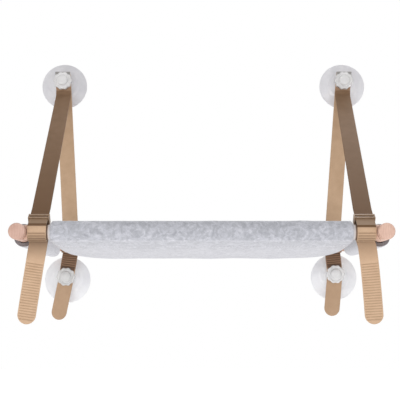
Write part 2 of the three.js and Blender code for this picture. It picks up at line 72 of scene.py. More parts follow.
def calculate(tree, operation, *values):
    """A maths node in a tree; each value is a number or another node's output."""
    step = tree.nodes.new("ShaderNodeMath")
    step.operation = operation
    for socket, value in zip(step.inputs, values):
        if isinstance(value, (int, float)):
            socket.default_value = value
        else:
            tree.links.new(value, socket)
    return step.outputs["Value"]


def seen_directly(tree):
    """1 for rays from the camera, off gloss and through clear plastic, else 0."""
    path = tree.nodes.new("ShaderNodeLightPath").outputs
    mirrored = calculate(tree, "MAXIMUM", path["Is Glossy Ray"], path["Is Transmission Ray"])
    return calculate(tree, "MAXIMUM", path["Is Camera Ray"], mirrored)


def start_finish(name, roughness, **plain_values):
    """A new material with one shader, and the place on the piece that its patterns use."""
    finish = bpy.data.materials.new(name)
    finish.use_nodes = True
    shader = finish.node_tree.nodes["Principled BSDF"]
    shader.inputs["Roughness"].default_value = roughness
    for socket, value in plain_values.items():
        shader.inputs[socket.replace("_", " ")].default_value = value
    place = finish.node_tree.nodes.new("ShaderNodeTexCoord").outputs["Object"]
    return finish, finish.node_tree, shader, place


def stretched(tree, place, scale, shift=(0, 0, 0)):
    """The place on the piece, moved and scaled along each axis."""
    mapping = tree.nodes.new("ShaderNodeMapping")
    mapping.inputs["Location"].default_value = shift
    mapping.inputs["Scale"].default_value = scale
    tree.links.new(place, mapping.inputs["Vector"])
    return mapping.outputs["Vector"]


surroundings_level = 0.64
world = bpy.data.worlds.new("white_studio")
world.use_nodes = True
bpy.context.scene.world = world
air = world.node_tree
backdrop = air.nodes["Background"]
backdrop.inputs["Color"].default_value = (1, 1, 1, 1)
level = calculate(air, "MULTIPLY_ADD", seen_directly(air), 1 - surroundings_level, surroundings_level)
air.links.new(level, backdrop.inputs["Strength"])


def hang_lamp(name, place, aim, width, height, power):
    """A soft rectangular lamp that points at a place and isn't seen itself."""
    lamp = bpy.data.objects.new(name, bpy.data.lights.new(name, "AREA"))
    lamp.data.shape = "RECTANGLE"
    lamp.data.size = width
    lamp.data.size_y = height
    lamp.data.energy = power
    lamp.location = place
    lamp.rotation_euler = (Vector(aim) - Vector(place)).to_track_quat("-Z", "Y").to_euler()
    lamp.visible_camera = False
    bpy.context.collection.objects.link(lamp)


hang_lamp("front_lamp", (-0.3, -2.8, -0.15), (0, -0.2, 0.05), width=3.2, height=0.7, power=28.8)
hang_lamp("high_rear_lamp", (0.5, 1.1, 1.5), (0, -0.15, 0), width=1.4, height=1.0, power=16)
hang_lamp("under_lamp", (0, -0.1, -1.24), (0, -0.15, 0), width=1.8, height=0.9, power=2.6)

floor_level = -1.3
floor_half = 16
floor_sides = [(-1, -1), (1, -1), (1, 1), (-1, 1)]
floor_corners = [(x * floor_half, y * floor_half, floor_level) for x, y in floor_sides]
floor_mesh = bpy.data.meshes.new("studio_floor")
floor_mesh.from_pydata(floor_corners, [], [(0, 1, 2, 3)])
floor = bpy.data.objects.new("studio_floor", floor_mesh)
bpy.context.collection.objects.link(floor)
floor_finish, floor_tree, paint, floor_place = start_finish(
    "floor_finish", 0.95,
    Base_Color=(0.88, 0.88, 0.88, 1), Specular_IOR_Level=0.1, Emission_Color=(1, 1, 1, 1),
)

# Seen directly, the floor glows up to white far out and less under the bed, where its shadow shows.
base_glow = 0.22
glow_far_out = 0.7
glow_lost_below = 0.85
fade_per_metre = 0.3
fade = floor_tree.nodes.new("ShaderNodeTexGradient")
fade.gradient_type = "SPHERICAL"
spread = stretched(floor_tree, floor_place, (fade_per_metre, fade_per_metre, 0))
floor_tree.links.new(spread, fade.inputs["Vector"])
glow = calculate(floor_tree, "MULTIPLY_ADD", fade.outputs["Fac"], -glow_lost_below, glow_far_out)
lift = calculate(floor_tree, "MULTIPLY_ADD", seen_directly(floor_tree), glow, base_glow)
floor_tree.links.new(lift, paint.inputs["Emission Strength"])
floor_mesh.materials.append(floor_finish)


# Side rails: two round bars of light wood that run from front to rear, turned, chamfered and sanded.
# Each is drilled through at both cross rods, with a recess on the outside for the bolt's head.
MM = 0.001
rail_x = 241
rail_radius = 11
rail_front = -354
rail_rear = -12
rod_rows = {"front": -332, "rear": -32}
sides = {"left": -1, "right": 1}
bolt_hole = 3.3
bolt_head_recess = 5.3
recess_starts = 4.8
hole_reach = 14


def make_piece(name, points, faces, *finishes, crease=35):
    """A mesh from points in millimetres, smooth except at edges sharper than crease degrees."""
    mesh = bpy.data.meshes.new(name)
    mesh.from_pydata([Vector(point) * MM for point in points], [], faces)
    for finish in finishes:
        mesh.materials.append(finish)
    turn_out(mesh, crease)
    piece = bpy.data.objects.new(name, mesh)
    bpy.context.collection.objects.link(piece)
    return piece


def turn_out(mesh, crease):
    """Makes all faces look outward and smooth, with sharp edges where the surface turns."""
    work = bmesh.new()
    work.from_mesh(mesh)
    bmesh.ops.recalc_face_normals(work, faces=work.faces)
    work.to_mesh(mesh)
    work.free()
    mesh.shade_smooth()
    mesh.set_sharp_from_angle(angle=math.radians(crease))


def skin(rings, capped=True):
    """Points and faces over rings of points of one count, with a face over each end."""
    count = len(rings[0])
    points = [point for ring in rings for point in ring]
    faces = []
    for ring in range(len(rings) - 1):
        for side in range(count):
            after = (side + 1) % count
            near, far = ring * count, (ring + 1) * count
            faces.append((near + side, near + after, far + after, far + side))
    if capped:
        faces.append(tuple(range(count)))
        faces.append(tuple(range((len(rings) - 1) * count, len(rings) * count)))
    return points, faces


def round_a_turn(count):
    """Even angles round a full turn."""
    return [2 * math.pi * step / count for step in range(count)]


def turned(profile, centre=(0, 0, 0), around=96):
    """A turned shape about an axis along y, from (radius, y) pairs; a zero radius closes it."""
    x, y, z = centre
    points, faces, rows = [], [], []
    for radius, along in profile:
        if radius == 0:
            rows.append([len(points)])
            points.append((x, y + along, z))
            continue
        rows.append(list(range(len(points), len(points) + around)))
        for angle in round_a_turn(around):
            points.append((x + radius * math.cos(angle), y + along, z + radius * math.sin(angle)))
    for near, far in zip(rows, rows[1:]):
        for step in range(around):
            after = (step + 1) % around
            corners = ((near, step), (near, after), (far, after), (far, step))
            face = [row[corner % len(row)] for row, corner in corners]
            faces.append(tuple(dict.fromkeys(face)))
    return points, faces


def round_peg(radius, low, high, axis, centre=(0, 0, 0), around=48):
    """A plain round bar along x or y: a drill for holes, a cutter for coped ends, a buckle's bar."""
    points, faces = turned([(0, low), (radius, low), (radius, high), (0, high)], around=around)
    if axis == "x":
        points = [(y, x, z) for x, y, z in points]
    moved = [tuple(Vector(point) + Vector(centre)) for point in points]
    return make_piece("cutter", moved, faces)


def settle(piece, crease=35):
    """Applies a piece's modifiers to its mesh."""
    bpy.context.view_layer.update()
    shaped = piece.evaluated_get(bpy.context.evaluated_depsgraph_get())
    mesh = bpy.data.meshes.new_from_object(shaped)
    piece.modifiers.clear()
    piece.data = mesh
    mesh.shade_smooth()
    mesh.set_sharp_from_angle(angle=math.radians(crease))


def join_or_cut(piece, operation, others, crease=35):
    """Joins other pieces to a piece, or cuts them out of it, and removes them."""
    for other in others:
        step = piece.modifiers.new("step", "BOOLEAN")
        step.operation = operation
        step.solver = "EXACT"
        step.object = other
    settle(piece, crease)
    for other in others:
        bpy.data.objects.remove(other)


def cloud(tree, place, scale, detail=4, roughness=0.6, distortion=0):
    """Soft noise over a piece, as a level round a half."""
    pattern = tree.nodes.new("ShaderNodeTexNoise")
    pattern.inputs["Scale"].default_value = scale
    pattern.inputs["Detail"].default_value = detail
    pattern.inputs["Roughness"].default_value = roughness
    pattern.inputs["Distortion"].default_value = distortion
    tree.links.new(place, pattern.inputs["Vector"])
    return pattern.outputs["Fac"]


def shades(tree, level, *steps):
    """Colours along a level, from steps of (level, colour)."""
    ramp = tree.nodes.new("ShaderNodeValToRGB")
    marks = ramp.color_ramp.elements
    while len(marks) < len(steps):
        marks.new(0.5)
    for mark, (position, colour) in zip(marks, steps):
        mark.position = position
        mark.color = colour
    tree.links.new(level, ramp.inputs["Fac"])
    return ramp.outputs["Color"]


def tint(tree, shader, level, light, dark):
    """Colours a shader from dark to light along a level."""
    tree.links.new(shades(tree, level, (0.35, dark), (0.65, light)), shader.inputs["Base Color"])


def blend_colours(tree, share, first, second, how="MIX"):
    """Two colours mixed by a share; each is a colour or another node's output."""
    mix = tree.nodes.new("ShaderNodeMix")
    mix.data_type = "RGBA"
    mix.blend_type = how
    for socket, value in ((mix.inputs[0], share), (mix.inputs[6], first), (mix.inputs[7], second)):
        if isinstance(value, (tuple, int, float)):
            socket.default_value = value
        else:
            tree.links.new(value, socket)
    return mix.outputs[2]


def relief(tree, shader, level, depth, strength=1):
    """Bump of a depth in millimetres from a level."""
    bump = tree.nodes.new("ShaderNodeBump")
    bump.inputs["Strength"].default_value = strength
    bump.inputs["Distance"].default_value = depth * MM
    tree.links.new(level, bump.inputs["Height"])
    tree.links.new(bump.outputs["Normal"], shader.inputs["Normal"])


def wood_finish(name, light, dark, pith, strap_shade_at=None):
    """Sanded light wood with a pink cast: rings about a heart beside the bar, and fine pores.

    A dark line of painted shade lies on the wood at a strap's edge; inside that line the wood is painted pale
    grey.
    """
    finish, tree, shader, place = start_finish(name, 0.5, Specular_IOR_Level=0.35)
    rings = tree.nodes.new("ShaderNodeTexWave")
    rings.wave_type = "RINGS"
    rings.rings_direction = "Y"
    rings.inputs["Scale"].default_value = 1
    rings.inputs["Distortion"].default_value = 5
    rings.inputs["Detail"].default_value = 3
    rings.inputs["Detail Scale"].default_value = 0.6
    tree.links.new(stretched(tree, place, (150, 9, 150), pith), rings.inputs["Vector"])
    pores = cloud(tree, stretched(tree, place, (1, 0.035, 1)), 2600, detail=3, roughness=0.7)
    patches = cloud(tree, stretched(tree, place, (1, 0.2, 1)), 60, detail=3)
    grain = blend_colours(tree, 0.45, rings.outputs["Color"], pores)
    colour = shades(tree, grain, (0.2, dark), (0.75, light))
    shade = shades(tree, patches, (0.3, tone(238, 232, 228)), (0.7, tone(255, 255, 255)))
    colour = blend_colours(tree, 1.0, colour, shade, "MULTIPLY")
    # Painted shade: a dark line beside the strap's edge, with the rod painted pale grey inside it.
    if strap_shade_at:
        split = tree.nodes.new("ShaderNodeSeparateXYZ")
        tree.links.new(place, split.inputs["Vector"])
        aside = calculate(tree, "ABSOLUTE", split.outputs["X"])
        line_width, under_strap = 4, 1
        up_to_strap = calculate(
            tree, "MULTIPLY_ADD", aside, 1 / (line_width * MM), 1 - strap_shade_at / line_width,
        )
        line = shades(
            tree, up_to_strap,
            (0.35, tone(206, 200, 200)), (0.6, tone(150, 128, 112)), (0.8, tone(96, 74, 60)),
        )
        inside = calculate(tree, "LESS_THAN", aside, (strap_shade_at + under_strap) * MM)
        colour = blend_colours(tree, inside, colour, line)
    tree.links.new(colour, shader.inputs["Base Color"])
    relief(tree, shader, pores, 0.05, 0.5)
    return finish


rail_tones = {
    "left": (tone(210, 176, 161), tone(197, 160, 145)),
    "right": (tone(222, 188, 171), tone(208, 171, 154)),
}
chamfer = [(9.5, 0), (10.2, 0.2), (10.75, 0.9), (rail_radius, 1.8)]
for name, side in sides.items():
    rail_wood = wood_finish(f"sanded_{name}_rail_wood", *rail_tones[name], (3.2, 0, -1.4))
    lip = [(radius, rail_front + along) for radius, along in chamfer]
    far_lip = [(radius, rail_rear - along) for radius, along in reversed(chamfer)]
    points, faces = turned([(0, rail_front), *lip, *far_lip, (0, rail_rear)], (side * rail_x, 0, 0))
    rail = make_piece(name + "_turned_rail", points, faces, rail_wood)
    holes = []
    for rod_y in rod_rows.values():
        centre = (side * rail_x, rod_y, 0)
        holes.append(round_peg(bolt_hole, -hole_reach, hole_reach, "x", centre))
        recess = sorted((side * recess_starts, side * hole_reach))
        holes.append(round_peg(bolt_head_recess, *recess, "x", centre))
    join_or_cut(rail, "DIFFERENCE", holes)
    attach(rail, "bed_frame")
    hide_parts(name + "_side_rail")


# Cross rods: two thinner bars of the same wood that spread the side rails, hidden in the felt but for
# their last few millimetres. Their ends are coped to the rails and drilled for a threaded insert.
rod_radius = 10
rod_half = 236
cope_radius = 11.3
insert_hole = 4.8
insert_x = 221.5
insert_half = 11
past_rod = 20
strap_inner_edge = 204
# The rod's wood carries a line of painted shade at the strap's inner edge.
rod_wood = wood_finish(
    "sanded_rod_wood", tone(224, 190, 170), tone(200, 160, 140), (1.1, 0, 2.6), strap_inner_edge,
)
for name, rod_y in rod_rows.items():
    points, faces = turned([(0, -rod_half), (rod_radius, -rod_half), (rod_radius, rod_half), (0, rod_half)])
    points = [(y, x + rod_y, z) for x, y, z in points]
    rod = make_piece(name + "_coped_rod", points, faces, rod_wood)
    cuts = []
    for side in sides.values():
        cuts.append(round_peg(cope_radius, -past_rod, past_rod, "y", (side * rail_x, rod_y, 0), around=96))
        cuts.append(round_peg(insert_hole, -insert_half, insert_half, "x", (side * insert_x, rod_y, 0)))
    join_or_cut(rod, "DIFFERENCE", cuts)
    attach(rod, "bed_frame")
    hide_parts(name + "_cross_rod")


# Bolts, inserts and studs: turned steel bolts with a socket head, brass inserts, steel studs in the cups.
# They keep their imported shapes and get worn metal.
def metal_finish(name, light, dark, roughness):
    """Turned metal with fine tool marks and duller patches."""
    finish, tree, shader, place = start_finish(name, roughness, Metallic=1.0)
    marks = cloud(tree, stretched(tree, place, (1, 0.15, 0.15)), 5200, detail=2, roughness=0.5)
    tint(tree, shader, cloud(tree, place, 700, detail=3), light, dark)
    relief(tree, shader, marks, 0.02, 0.4)
    return finish


bolt_steel = metal_finish("turned_steel", tone(196, 196, 200), tone(160, 160, 166), 0.32)
insert_brass = metal_finish("turned_brass", tone(214, 184, 112), tone(176, 142, 78), 0.38)
metals = {"bolt": bolt_steel, "stud": bolt_steel, "insert": insert_brass}
for node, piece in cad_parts.items():
    metal = metals.get(node.rsplit("_", 1)[-1])
    if metal:
        piece.data.materials.clear()
        piece.data.materials.append(metal)
        piece.data.shade_smooth()


# Felt hammock: one sheet of pressed grey felt, cut to the flat size below. Each end is turned up over
# its cross rod and sewn down on the sheet, and the span sags between the rods.
felt_thickness = 3
sheet_half_width = 199
rod_gap = 300
felt_clearance = 0.3
felt_ring = rod_radius + felt_clearance + felt_thickness / 2
flap_reach = 30
flap_lands = 20
stitch_inset = 25
stitch_dip = 3
front_sleeve_ends = -310
rear_sleeve_starts = -50
front_loft = 1.7
rear_loft = 1.8
rear_loft_turns_at = 0.3
seam_ridge = 0.9
seam_ridge_y = -338.5
seam_ridge_width = 1.6
edge_rounding = 1.4
thin_side = 0.35
thin_end = 0.4
creases_start = 4
creases_grow_over = 30
span_steps = 96
rod_steps = 36
sheet_columns = 132
even_share, closer_share = 0.8, 0.2
rounded_places = 1.5


def felt_finish(name):
    """Pressed felt of grey and white fibres: swirled tufts and specks; its underside is smoother, and painted
    paler as light from below.
    """
    finish, tree, shader, place = start_finish(name, 0.95, Sheen_Weight=0.25, Sheen_Roughness=0.6)
    shader.inputs["Specular IOR Level"].default_value = 0.1
    swirls = cloud(tree, place, 78, detail=4, roughness=0.5, distortion=1.8)
    tufts = cloud(tree, place, 260, detail=3, roughness=0.5, distortion=0.8)
    fibres = cloud(tree, place, 2400, detail=3, roughness=0.7, distortion=0.5)
    mottle = blend_colours(tree, 0.4, swirls, tufts)
    upper = shades(
        tree, mottle,
        (0.34, tone(165, 166, 173)), (0.46, tone(180, 181, 187)),
        (0.55, tone(193, 194, 201)), (0.68, tone(211, 211, 217)),
    )
    under = shades(
        tree, mottle,
        (0.32, tone(215, 214, 219)), (0.5, tone(221, 220, 225)), (0.68, tone(228, 227, 231)),
    )
    # The underside share paints light from below into the colour and smooths the nap.
    turned_under = tree.nodes.new("ShaderNodeAttribute")
    turned_under.attribute_name = "underside"
    colour = blend_colours(tree, turned_under.outputs["Fac"], upper, under)
    fleck = shades(tree, fibres, (0.36, tone(225, 225, 228)), (0.56, tone(255, 255, 255)))
    tree.links.new(blend_colours(tree, 1.0, colour, fleck, "MULTIPLY"), shader.inputs["Base Color"])
    smoothed = calculate(tree, "MULTIPLY", turned_under.outputs["Fac"], 0.9)
    nap = blend_colours(tree, 0.5, fibres, tufts)
    relief(tree, shader, blend_colours(tree, smoothed, nap, (0.5, 0.5, 0.5, 1)), 0.5, 0.55)
    return finish


def clipped(value):
    """A share, kept from 0 to 1."""
    return min(1, max(0, value))


def from_rods(y):
    """How far a place in the span lies from the nearer cross rod."""
    return min(y - rod_rows["front"], rod_rows["rear"] - y)


def sag_at(x):
    """How far the span hangs below the rods: least at the sheet's free side edges."""
    sag_at_edge, more_in_middle = 6, 8
    return sag_at_edge + more_in_middle * (1 - abs(x / sheet_half_width) ** 8)


def span_bottom(x, y):
    """The height of the sheet's underside between the rods."""
    from_middle = (2 * y - rod_rows["front"] - rod_rows["rear"]) / rod_gap
    return -(rod_radius + felt_clearance + felt_thickness) - sag_at(x) * (1 - from_middle**2)


def flap_path(x, rod_y, inward):
    """The middle of the felt from the flap's cut edge up over the rod to the rod's lowest point."""
    path = []
    lies_above = 0.1
    for step in range(5):
        y = rod_y + inward * (flap_reach + (flap_lands - flap_reach) * step / 4)
        path.append((y, span_bottom(x, y) + 1.5 * felt_thickness + lies_above))
    landed_y, landed_z = path[-1]
    reach = math.hypot(landed_y - rod_y, landed_z)
    bearing = math.atan2(landed_z, (landed_y - rod_y) * inward)
    leaves = bearing + math.acos(felt_ring / reach)
    ring_y, ring_z = rod_y + inward * felt_ring * math.cos(leaves), felt_ring * math.sin(leaves)
    for step in range(1, 8):
        share = step / 8
        path.append((landed_y + (ring_y - landed_y) * share, landed_z + (ring_z - landed_z) * share))
    for step in range(rod_steps + 1):
        angle = leaves + (1.5 * math.pi - leaves) * step / rod_steps
        path.append((rod_y + inward * felt_ring * math.cos(angle), felt_ring * math.sin(angle)))
    return path


def felt_route(x):
    """The middle of the sheet from the rear flap's edge to the front flap's edge, as (y, z)."""
    front, rear = rod_rows["front"], rod_rows["rear"]
    span = []
    for step in range(1, span_steps):
        y = rear + (front - rear) * step / span_steps
        span.append((y, span_bottom(x, y) + felt_thickness / 2))
    return flap_path(x, rear, -1) + span + flap_path(x, front, 1)[::-1]


def run_length(route):
    """The length of a route through its places."""
    return sum(math.dist(a, b) for a, b in zip(route, route[1:]))


def across(route, index):
    """Unit direction out of the route at a point, to the left of its run."""
    before, after = route[max(0, index - 1)], route[min(len(route) - 1, index + 1)]
    run = math.dist(before, after)
    return -(after[1] - before[1]) / run, (after[0] - before[0]) / run


def lump(x, y, z, size, height):
    """A soft lump of a height at a place, for pressed and creased cloth."""
    return height * noise.noise(Vector((x, y, z)) / size)


def felt_lumps(x, y, z):
    """How far pressed felt swells at a place: broad lumps with finer ones on them."""
    return max(0, lump(x, y, z, 26, 0.8) + lump(x, y, z, 9, 0.35))


def felt_creases(x, y):
    """Long creases that lie across the span, and shallow waves along it."""
    return lump(x * 0.35, y, 7, 30, 1.1) + lump(x, y * 0.5, 3, 55, 1.2)


def faces_down(out_z):
    """1 where the felt's outer face looks down, 0 on the front of the roll and above."""
    turns_at, within = 0.8, 0.06
    return clipped((-out_z - turns_at) / within)


def outer_face(x, y, z, out_z, edge_share):
    """How far the outer face stands proud, and its painted light from below with a painted highlight on the
    seam ridge: it dips where it is stitched down.
    """
    down = faces_down(out_z)
    ridge = down * math.exp(-(((y - seam_ridge_y) / seam_ridge_width) ** 2))
    loft = 0
    if y < front_sleeve_ends:
        loft = front_loft * max(0, out_z)
    elif y > rear_sleeve_starts:
        loft = rear_loft * max(0, -out_z - rear_loft_turns_at)
    stitched = math.exp(-(((from_rods(y) - stitch_inset) / stitch_dip) ** 2))
    smoothed_below = 0.6
    lumps = felt_lumps(x, y, z) * (1 - smoothed_below * down)
    swell = (loft + seam_ridge * ridge + lumps * (1 - stitched)) * edge_share
    # Painted light from below: paler from the rods into the span, and a painted highlight along the seam
    # ridge.
    pale_at_rod, pale_in_span, ridge_highlight, pales_over = 0.13, 0.5, 0.4, 180
    pale = min(pale_in_span, max(pale_at_rod, pale_at_rod + from_rods(y) / pales_over))
    return swell, down * pale + ridge_highlight * ridge


def inner_face(x, y, edge_share):
    """How far the face that the cat lies on swells, which starts past the sewn flap."""
    off_flap, grows_over, another_place = 1, 8, 60
    past_flap = clipped((from_rods(y) - flap_reach - off_flap) / grows_over)
    return past_flap * felt_lumps(x, y, another_place) * edge_share


def felt_sheet():
    """The hammock as a closed sheet: its rounded edges, lumps and creases are in the mesh."""
    rings, pale = [], []
    for column in range(sheet_columns + 1):
        closer_at_edges = math.sin(math.pi * (column / sheet_columns - 0.5))
        evenly = even_share * (2 * column / sheet_columns - 1)
        x = sheet_half_width * (evenly + closer_share * closer_at_edges)
        route = felt_route(x)
        edge_share = min(1, (sheet_half_width - abs(x)) / edge_rounding)
        half = felt_thickness / 2 * (thin_side + (1 - thin_side) * math.sqrt(1 - (1 - edge_share) ** 2))
        inner, outer, outer_light_from_below = [], [], []
        for index, (y, z) in enumerate(route):
            out_y, out_z = across(route, index)
            end_share = min(1, min(index, len(route) - 1 - index) / rounded_places)
            thick = half * (thin_end + (1 - thin_end) * end_share)
            in_span = clipped((from_rods(y) - creases_start) / creases_grow_over)
            crease = in_span * felt_creases(x, y) * edge_share
            below, painted_light = outer_face(x, y, z, out_z, edge_share)
            below += thick
            above = thick + inner_face(x, y, edge_share)
            inner.append((x, y - out_y * above, z - out_z * above + crease))
            outer.append((x, y + out_y * below, z + out_z * below + crease))
            outer_light_from_below.append(painted_light)
        rings.append(outer + inner[::-1])
        pale.extend(outer_light_from_below + [0.0] * len(inner))
    points, faces = skin(rings)
    return points, faces, pale


def paint_share(piece, name, shares):
    """Stores a share from 0 to 1 at each point for the material to read."""
    attribute = piece.data.attributes.new(name, "FLOAT", "POINT")
    attribute.data.foreach_set("value", shares)


pressed_felt = felt_finish("pressed_grey_felt")
points, faces, pale = felt_sheet()
felt = make_piece("felt_hammock_sheet", points, faces, pressed_felt, crease=60)
# Painted light: the hammock's downward outer face is painted paler, as light from below.
paint_share(felt, "underside", pale)
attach(felt, "bed_frame")
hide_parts("felt_hammock")


# Sewing thread: pale grey lock stitches, one row along each sleeve, which show on the flap and underneath.
# Each stitch pulls a little into the felt between its two holes.
stitch_length = 3.4
stitch_pitch = 4.4
stitch_rise = 0.45
stitch_sunk = 0.2
thread_radius = 0.38


def mottled_finish(name, roughness, light, dark, scale, detail=3, depth=0, strength=0.5, **plain_values):
    """A finish mottled in two tones, with relief from the same mottle where it has a depth."""
    finish, tree, shader, place = start_finish(name, roughness, **plain_values)
    mottle = cloud(tree, place, scale, detail)
    tint(tree, shader, mottle, light, dark)
    if depth:
        relief(tree, shader, mottle, depth, strength)
    return finish


def stitch_row(name, knots, finish):
    """Short arched stitches between pairs of knots, each knot a place and the way out of the cloth."""
    points, faces = [], []
    for start, end, out in knots:
        start, end, out = Vector(start), Vector(end), Vector(out)
        sideways = (end - start).normalized().cross(out)
        rings = []
        for step in range(6):
            share = step / 5
            arch = math.sin(math.pi * share)
            middle = start.lerp(end, share) + out * (arch * stitch_rise - stitch_sunk)
            radius = thread_radius * (0.55 + 0.45 * arch)
            rings.append([
                tuple(middle + sideways * radius * math.cos(turn) + out * radius * math.sin(turn))
                for turn in round_a_turn(6)
            ])
        more_points, more_faces = skin(rings)
        faces += [tuple(index + len(points) for index in face) for face in more_faces]
        points += more_points
    return make_piece(name, points, faces, finish, crease=80)


def sleeve_knots(rod_y, inward):
    """Stitch places along a sleeve, on the flap's upper face and on the sheet's underside."""
    knots = []
    row_inset = 4
    y = rod_y + inward * stitch_inset
    count = int(2 * (sheet_half_width - row_inset) / stitch_pitch)
    for number in range(count):
        x = (number - count / 2) * stitch_pitch
        for lift, out in ((2 * felt_thickness + 0.3, 1), (-0.15, -1)):
            wander = lump(x, y, lift, 40, 0.8)
            ends = [(place, y + wander, span_bottom(place, y) + lift) for place in (x, x + stitch_length)]
            knots.append((*ends, (0, 0, out)))
    return knots


sewing_thread = mottled_finish(
    "spun_thread", 0.6, tone(236, 236, 240), tone(205, 205, 210),
    scale=3800, detail=2, depth=0.06, strength=1, Sheen_Weight=0.3,
)
knots = sleeve_knots(rod_rows["front"], 1) + sleeve_knots(rod_rows["rear"], -1)
stitches = stitch_row("hammock_seam_stitches", knots, sewing_thread)
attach(stitches, "bed_frame")
flat_length = run_length(felt_route(0)) * MM


# Rail sleeves: a strip of the same felt round each side rail, sewn into a loose tube that hangs below it.
# It keeps the cat's paws off the wood; its lower fold is soft, and its cut front edge is painted dark grey as
# shade.
sleeve_front = -299
sleeve_rear = -46
sleeve_thickness = 2.5
sleeve_inner = rail_radius + felt_clearance
sleeve_droop = 4
inner_droop = 1
sleeve_fold = {"left": 10, "right": 6}
fold_rear = -66
fold_fades_over = 35
sleeve_rows = 84
sleeve_points = 72
sleeve_light_from_below = 0.7
other_lumps = 300


def sleeve_ring(radius, along, inward, fold, droop):
    """A drooping section, as (x, z) from the rail's middle, with lumps and a fold unless fold is None."""
    ring = []
    for angle in round_a_turn(sleeve_points):
        out_x, out_z = math.cos(angle), math.sin(angle)
        bump = 0
        if fold is not None:
            broad_lump = lump(out_x * 14, along, out_z * 14, 17, 1.1)
            fine_lump = lump(out_x * 9, along, 5, 7, 0.3)
            toward_fold = max(0, 0.8 * out_x * inward - 0.6 * out_z)
            bump = max(0, broad_lump) + max(0, fine_lump) + fold * toward_fold**4
        low = droop * clipped(0.5 - 2 * out_z)
        ring.append(((radius + bump) * out_x, (radius + bump) * out_z - low))
    return ring


felt_edge_shade = mottled_finish(
    "felt_edge_painted_shade", 1, tone(142, 136, 138), tone(104, 98, 100), scale=900, Specular_IOR_Level=0.05,
)
for name, side in sides.items():
    outer_rows, inner_rows = [], []
    for row in range(sleeve_rows + 1):
        share = row / sleeve_rows
        y = sleeve_front + (sleeve_rear - sleeve_front) * share
        edge = min(1, row, sleeve_rows - row)
        radius = sleeve_inner + sleeve_thickness * (0.75 + 0.25 * edge)
        fold = sleeve_fold[name] * min(1, max(0, (fold_rear - y) / fold_fades_over), 2 * share)
        outer = sleeve_ring(radius, y + side * other_lumps, -side, fold, sleeve_droop)
        inner = sleeve_ring(sleeve_inner, y, -side, None, inner_droop)
        outer_rows.append([(side * rail_x + x, y, z) for x, z in outer])
        inner_rows.append([(side * rail_x + x, y, z) for x, z in inner])
    points, faces = skin(outer_rows + inner_rows[::-1], capped=False)
    count = len(outer_rows[0])
    last = len(points) - count
    front_edge = [(last + i, last + (i + 1) % count, (i + 1) % count, i) for i in range(count)]
    sleeve = make_piece(
        name + "_felt_rail_sleeve", points, faces + front_edge, pressed_felt, felt_edge_shade, crease=60,
    )
    # Painted shade: the cut front edge takes the dark grey felt.
    for face in sleeve.data.polygons[len(faces):]:
        face.material_index = 1
    # Painted light: each sleeve takes most of the paler underside tone, as light from below.
    paint_share(sleeve, "underside", [sleeve_light_from_below] * len(points))
    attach(sleeve, "bed_frame")
    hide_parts(name + "_rail_felt_sleeve")


# Straps: one tan moulded strap on each side goes over the upper stud, down in front to the front rod and down
# behind to the rear rod. Its outer face has fine cross ribs toward the ends, cut by grooves between them.
strap_width = 25
strap_half = 1
strap_x = {"front": 216.5, "rear": 212.9}
upper_cup = {"left": 230.5, "right": 235.6}
lower_cup = {"left": 221, "right": 217.5}
upper_level = 273
lower_level = {"left": -51, "right": -47}
rear_layer = -17.3
front_layer = -19.6
loop_radius = 11.3
wrap_radius = 3.1
loop_above = 33
leg_top = 257
fold_top = 289
rib_pitch = 3.5
rib_groove = 0.35
rib_inset = 1.6
in_groove_at = {0: False, 2.25: False, 2.55: True, 3.2: True}
loop_ribs = (42.4, 56.6)
tail_ribs = (54, 131.2)
strap_rounding = 0.7
closest_rings = 0.03
stud_hole = 3.3
top_bend_radius = 12
fold_radius = 1.15
flat_behind_knob = 15
round_loop = 2.3
rear_ribs_start, rear_ribs_stop = 44, 13
stud_drill = (-24, -12)


def at_point(y, z):
    """A stop that is a plain point, where the strap bends sharply."""
    return {"y": y, "z": z, "radius": 0, "turn": 0}


def tangent(start, end):
    """The heading of the straight run between two stops that the strap passes."""
    run = math.hypot(end["y"] - start["y"], end["z"] - start["z"])
    bearing = math.atan2(end["z"] - start["z"], end["y"] - start["y"])
    offset = end["turn"] * end["radius"] - start["turn"] * start["radius"]
    return bearing - math.atan2(offset, math.sqrt(max(0, run * run - offset * offset)))


def on_stop(stop, heading):
    """The place on a stop where the strap has a heading."""
    reach = stop["turn"] * stop["radius"]
    return (stop["y"] + reach * math.sin(heading), stop["z"] - reach * math.cos(heading), heading)


def strap_route(stops):
    """Places (y, z, heading) along a strap that bends round stops; turn 1 is anticlockwise from the right."""
    headings = [tangent(a, b) for a, b in zip(stops, stops[1:])]
    route = [on_stop(stops[0], headings[0])]
    for stop, arriving, leaving in zip(stops[1:], headings, headings[1:]):
        bend = (leaving - arriving) % (2 * math.pi)
        if stop["turn"] < 0 or (stop["turn"] == 0 and bend > math.pi):
            bend -= 2 * math.pi
        heading = route[-1][2]
        if stop["turn"] == 0:
            route.append(on_stop(stop, heading + bend / 2))
            route.append((*route[-1][:2], heading + bend))
            continue
        steps = max(1, math.ceil(abs(bend) / math.radians(6)))
        for step in range(steps + 1):
            route.append(on_stop(stop, heading + bend * step / steps))
    last = stops[-1]
    route.append(on_stop(last, route[-1][2]))
    return route


def strap_frame(rod_y, heading):
    """Places along and below a strap that comes down to its rod, and the buckle's bar under it."""
    bar_along, bar_below = 21, 6.8
    up_y, up_z = -math.cos(heading), -math.sin(heading)
    under_y, under_z = -math.sin(heading), math.cos(heading)

    def at(along, below):
        """A place on the strap's line, or below it."""
        drop = below - loop_radius
        return (rod_y + up_y * along + under_y * drop, up_z * along + under_z * drop)

    return {"at": at, "bar": at(bar_along, bar_below)}


def rod_stop(rod_y):
    """The stop at a cross rod in its felt."""
    return {"y": rod_y, "z": 0, "radius": loop_radius, "turn": 1}


